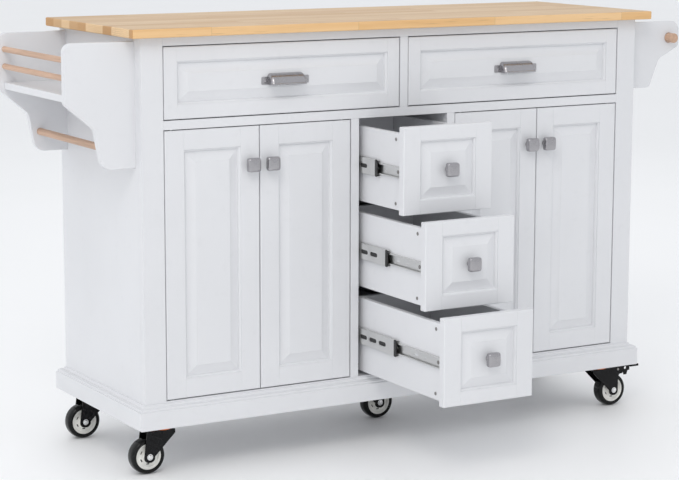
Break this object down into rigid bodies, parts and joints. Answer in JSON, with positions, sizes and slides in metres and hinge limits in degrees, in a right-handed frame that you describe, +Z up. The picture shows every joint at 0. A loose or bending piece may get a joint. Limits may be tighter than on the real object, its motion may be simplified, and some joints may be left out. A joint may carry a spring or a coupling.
{
  "type": "kitchen island cart",
  "caption": "Rolling kitchen island cabinet with a wooden worktop, panelled doors and drawers, a spice rack at one end and a towel rack at the other.",
  "frame": {"origin": "on the floor under the middle of the bounding box of the cart as stored, with its three bay drawers part open", "axes": "+X to the cart's right seen from the front, -Y out of its front, +Z up"},
  "size_m": [1.522, 0.786, 0.915],
  "materials": {
    "white_paint": "satin paint",
    "rubberwood": "clear satin lacquer",
    "dowel_wood": "clear satin lacquer",
    "satin_nickel": "brushed",
    "slide_steel": "zinc plated",
    "black_metal": "gloss black",
    "wheel": "black tread on an ivory rim"
  },
  "bodies": {
    "cabinet": {"worktop": "rubberwood", "side_panel_left": "white_paint", "side_panel_right": "white_paint", "bay_partitions": "white_paint", "bottom_board": "white_paint", "drawer_deck": "white_paint", "drawer_divider_and_spacers": "white_paint", "back_panel": "white_paint", "face_frame": "white_paint", "plinth": "white_paint", "caster_rails": "white_paint", "cupboard_shelves": "white_paint", "shelf_pins": "slide_steel", "spice_rack_brackets": "white_paint", "spice_rack_shelf": "white_paint", "spice_rack_dowels": "dowel_wood", "towel_rack_brackets": "white_paint", "towel_bar": "dowel_wood", "slide_outer_members": "slide_steel", "caster_plates": "slide_steel"},
    "door_left_outer": {"door_left_outer_leaf": "white_paint", "door_left_outer_knob": "satin_nickel"},
    "door_left_inner": {"door_left_inner_leaf": "white_paint", "door_left_inner_knob": "satin_nickel"},
    "door_right_inner": {"door_right_inner_leaf": "white_paint", "door_right_inner_knob": "satin_nickel"},
    "door_right_outer": {"door_right_outer_leaf": "white_paint", "door_right_outer_knob": "satin_nickel"},
    "drawer_left": {"drawer_left_front": "white_paint", "drawer_left_box": "white_paint", "drawer_left_pull": "satin_nickel"},
    "drawer_left_slide": {"drawer_left_slide": "slide_steel"},
    "drawer_right": {"drawer_right_front": "white_paint", "drawer_right_box": "white_paint", "drawer_right_pull": "satin_nickel"},
    "drawer_right_slide": {"drawer_right_slide": "slide_steel"},
    "drawer_bay_top": {"drawer_bay_top_front": "white_paint", "drawer_bay_top_box": "white_paint", "drawer_bay_top_knob": "satin_nickel"},
    "drawer_bay_top_slide": {"drawer_bay_top_slide": "slide_steel"},
    "drawer_bay_middle": {"drawer_bay_middle_front": "white_paint", "drawer_bay_middle_box": "white_paint", "drawer_bay_middle_knob": "satin_nickel"},
    "drawer_bay_middle_slide": {"drawer_bay_middle_slide": "slide_steel"},
    "drawer_bay_bottom": {"drawer_bay_bottom_front": "white_paint", "drawer_bay_bottom_box": "white_paint", "drawer_bay_bottom_knob": "satin_nickel"},
    "drawer_bay_bottom_slide": {"drawer_bay_bottom_slide": "slide_steel"},
    "caster_front_left": {"caster_front_left_fork": "black_metal"},
    "caster_front_left_wheel": {"caster_front_left_wheel": "wheel"},
    "caster_front_right": {"caster_front_right_fork": "black_metal"},
    "caster_front_right_wheel": {"caster_front_right_wheel": "wheel"},
    "caster_front_right_pedal": {"caster_front_right_pedal": "black_metal"},
    "caster_rear_left": {"caster_rear_left_fork": "black_metal"},
    "caster_rear_left_wheel": {"caster_rear_left_wheel": "wheel"},
    "caster_rear_right": {"caster_rear_right_fork": "black_metal"},
    "caster_rear_right_wheel": {"caster_rear_right_wheel": "wheel"},
    "caster_rear_right_pedal": {"caster_rear_right_pedal": "black_metal"},
    "caster_centre": {"caster_centre_fork": "black_metal"},
    "caster_centre_wheel": {"caster_centre_wheel": "wheel"}
  },
  "joints": [
    {"name": "door_left_outer_hinge", "type": "hinge", "parent": "cabinet", "child": "door_left_outer", "pos_m": [-0.544, -0.025, 0.4335], "axis": [0, 0, -1], "range_deg": [0, 90]},
    {"name": "door_left_inner_hinge", "type": "hinge", "parent": "cabinet", "child": "door_left_inner", "pos_m": [-0.148, -0.025, 0.4335], "axis": [0, 0, 1], "range_deg": [0, 90]},
    {"name": "door_right_inner_hinge", "type": "hinge", "parent": "cabinet", "child": "door_right_inner", "pos_m": [0.148, -0.025, 0.4335], "axis": [0, 0, -1], "range_deg": [0, 90]},
    {"name": "door_right_outer_hinge", "type": "hinge", "parent": "cabinet", "child": "door_right_outer", "pos_m": [0.544, -0.025, 0.4335], "axis": [0, 0, 1], "range_deg": [0, 90]},
    {"name": "drawer_left_travel", "type": "slide", "parent": "cabinet", "child": "drawer_left", "axis": [0, -1, 0], "range_m": [0, 0.35]},
    {"name": "drawer_left_slide_travel", "type": "slide", "parent": "cabinet", "child": "drawer_left_slide", "axis": [0, -1, 0], "range_m": [0, 0.175]},
    {"name": "drawer_right_travel", "type": "slide", "parent": "cabinet", "child": "drawer_right", "axis": [0, -1, 0], "range_m": [0, 0.35]},
    {"name": "drawer_right_slide_travel", "type": "slide", "parent": "cabinet", "child": "drawer_right_slide", "axis": [0, -1, 0], "range_m": [0, 0.175]},
    {"name": "drawer_bay_top_travel", "type": "slide", "parent": "cabinet", "child": "drawer_bay_top", "axis": [0, -1, 0], "range_m": [-0.176, 0.174]},
    {"name": "drawer_bay_top_slide_travel", "type": "slide", "parent": "cabinet", "child": "drawer_bay_top_slide", "axis": [0, -1, 0], "range_m": [-0.088, 0.087]},
    {"name": "drawer_bay_middle_travel", "type": "slide", "parent": "cabinet", "child": "drawer_bay_middle", "axis": [0, -1, 0], "range_m": [-0.262, 0.088]},
    {"name": "drawer_bay_middle_slide_travel", "type": "slide", "parent": "cabinet", "child": "drawer_bay_middle_slide", "axis": [0, -1, 0], "range_m": [-0.131, 0.044]},
    {"name": "drawer_bay_bottom_travel", "type": "slide", "parent": "cabinet", "child": "drawer_bay_bottom", "axis": [0, -1, 0], "range_m": [-0.335, 0.015]},
    {"name": "drawer_bay_bottom_slide_travel", "type": "slide", "parent": "cabinet", "child": "drawer_bay_bottom_slide", "axis": [0, -1, 0], "range_m": [-0.1675, 0.0075]},
    {"name": "caster_front_left_swivel", "type": "hinge", "parent": "cabinet", "child": "caster_front_left", "pos_m": [-0.557, 0.006, 0.0907], "axis": [0, 0, 1], "continuous": true},
    {"name": "caster_front_left_roll", "type": "hinge", "parent": "caster_front_left", "child": "caster_front_left_wheel", "pos_m": [-0.592, 0.006, 0.0375], "axis": [0, 1, 0], "continuous": true},
    {"name": "caster_front_right_swivel", "type": "hinge", "parent": "cabinet", "child": "caster_front_right", "pos_m": [0.557, 0.006, 0.0907], "axis": [0, 0, 1], "continuous": true},
    {"name": "caster_front_right_roll", "type": "hinge", "parent": "caster_front_right", "child": "caster_front_right_wheel", "pos_m": [0.592, 0.006, 0.0375], "axis": [0, 1, 0], "continuous": true},
    {"name": "caster_front_right_brake", "type": "hinge", "parent": "caster_front_right", "child": "caster_front_right_pedal", "pos_m": [0.603, 0.006, 0.086], "axis": [0, 1, 0], "range_deg": [0, 12]},
    {"name": "caster_rear_left_swivel", "type": "hinge", "parent": "cabinet", "child": "caster_rear_left", "pos_m": [-0.557, 0.336, 0.0907], "axis": [0, 0, 1], "continuous": true},
    {"name": "caster_rear_left_roll", "type": "hinge", "parent": "caster_rear_left", "child": "caster_rear_left_wheel", "pos_m": [-0.592, 0.336, 0.0375], "axis": [0, 1, 0], "continuous": true},
    {"name": "caster_rear_right_swivel", "type": "hinge", "parent": "cabinet", "child": "caster_rear_right", "pos_m": [0.557, 0.336, 0.0907], "axis": [0, 0, 1], "continuous": true},
    {"name": "caster_rear_right_roll", "type": "hinge", "parent": "caster_rear_right", "child": "caster_rear_right_wheel", "pos_m": [0.592, 0.336, 0.0375], "axis": [0, 1, 0], "continuous": true},
    {"name": "caster_rear_right_brake", "type": "hinge", "parent": "caster_rear_right", "child": "caster_rear_right_pedal", "pos_m": [0.603, 0.336, 0.086], "axis": [0, 1, 0], "range_deg": [0, 12]},
    {"name": "caster_centre_swivel", "type": "hinge", "parent": "cabinet", "child": "caster_centre", "pos_m": [0.023, 0.171, 0.0907], "axis": [0, 0, 1], "continuous": true},
    {"name": "caster_centre_roll", "type": "hinge", "parent": "caster_centre", "child": "caster_centre_wheel", "pos_m": [0.058, 0.171, 0.0375], "axis": [0, 1, 0], "continuous": true}
  ],
  "couplings": [
    {"joint": "drawer_left_slide_travel", "follows": "drawer_left_travel", "ratio": 0.5},
    {"joint": "drawer_right_slide_travel", "follows": "drawer_right_travel", "ratio": 0.5},
    {"joint": "drawer_bay_top_slide_travel", "follows": "drawer_bay_top_travel", "ratio": 0.5},
    {"joint": "drawer_bay_middle_slide_travel", "follows": "drawer_bay_middle_travel", "ratio": 0.5},
    {"joint": "drawer_bay_bottom_slide_travel", "follows": "drawer_bay_bottom_travel", "ratio": 0.5}
  ]
}
